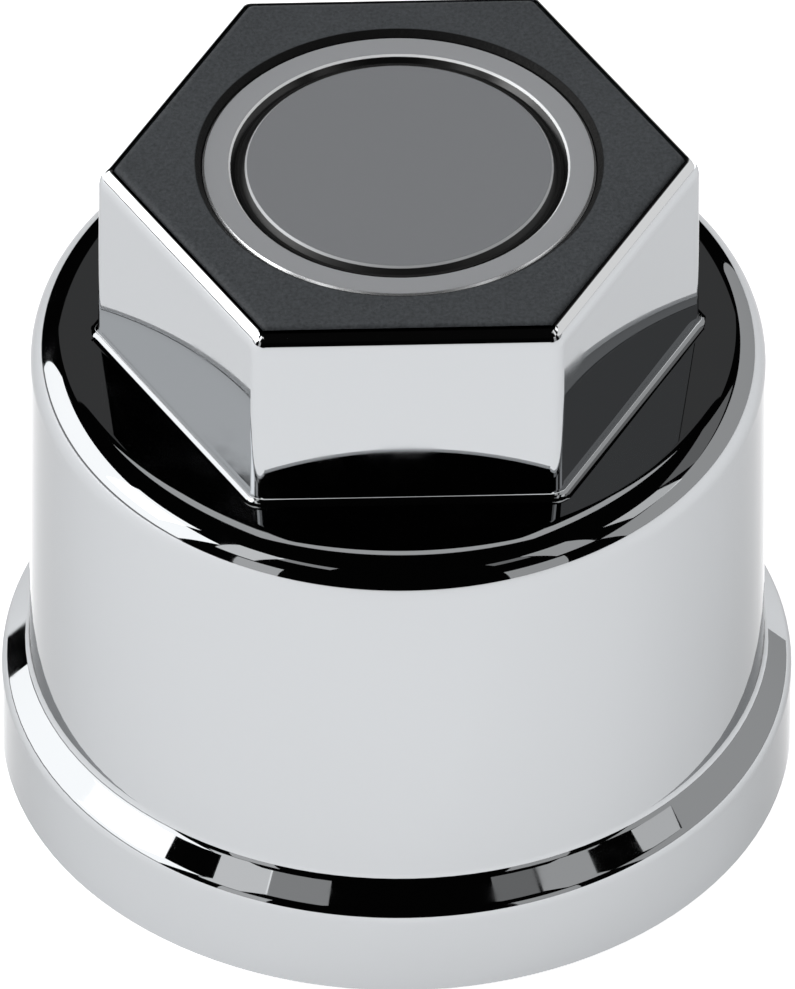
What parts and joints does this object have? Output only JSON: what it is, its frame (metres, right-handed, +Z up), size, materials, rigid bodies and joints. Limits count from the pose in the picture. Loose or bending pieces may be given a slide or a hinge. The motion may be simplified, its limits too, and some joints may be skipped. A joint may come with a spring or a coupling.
{
  "type": "lug nut cap",
  "caption": "Chromed push-on lug nut cap: flanged rim, round drum and hexagonal boss, its black grained face holding a plain round medallion; hollow and ribbed inside to grip a wheel nut.",
  "frame": {"origin": "centre of the open rim, on the plane that the rim stands on", "axes": "+Z up the cap's axis, towards the hexagon's face; +Y and -Y are square to two flats of the hexagon"},
  "size_m": [0.0505, 0.0504, 0.0479],
  "materials": {
    "chrome_plating": "bright polished plating",
    "grained_black": "fine-grained, matte",
    "satin_metal": "satin, with polished edges"
  },
  "bodies": {
    "root": {"cap_shell": "chrome_plating", "top_plate": "grained_black", "medallion": "satin_metal"}
  },
  "joints": []
}
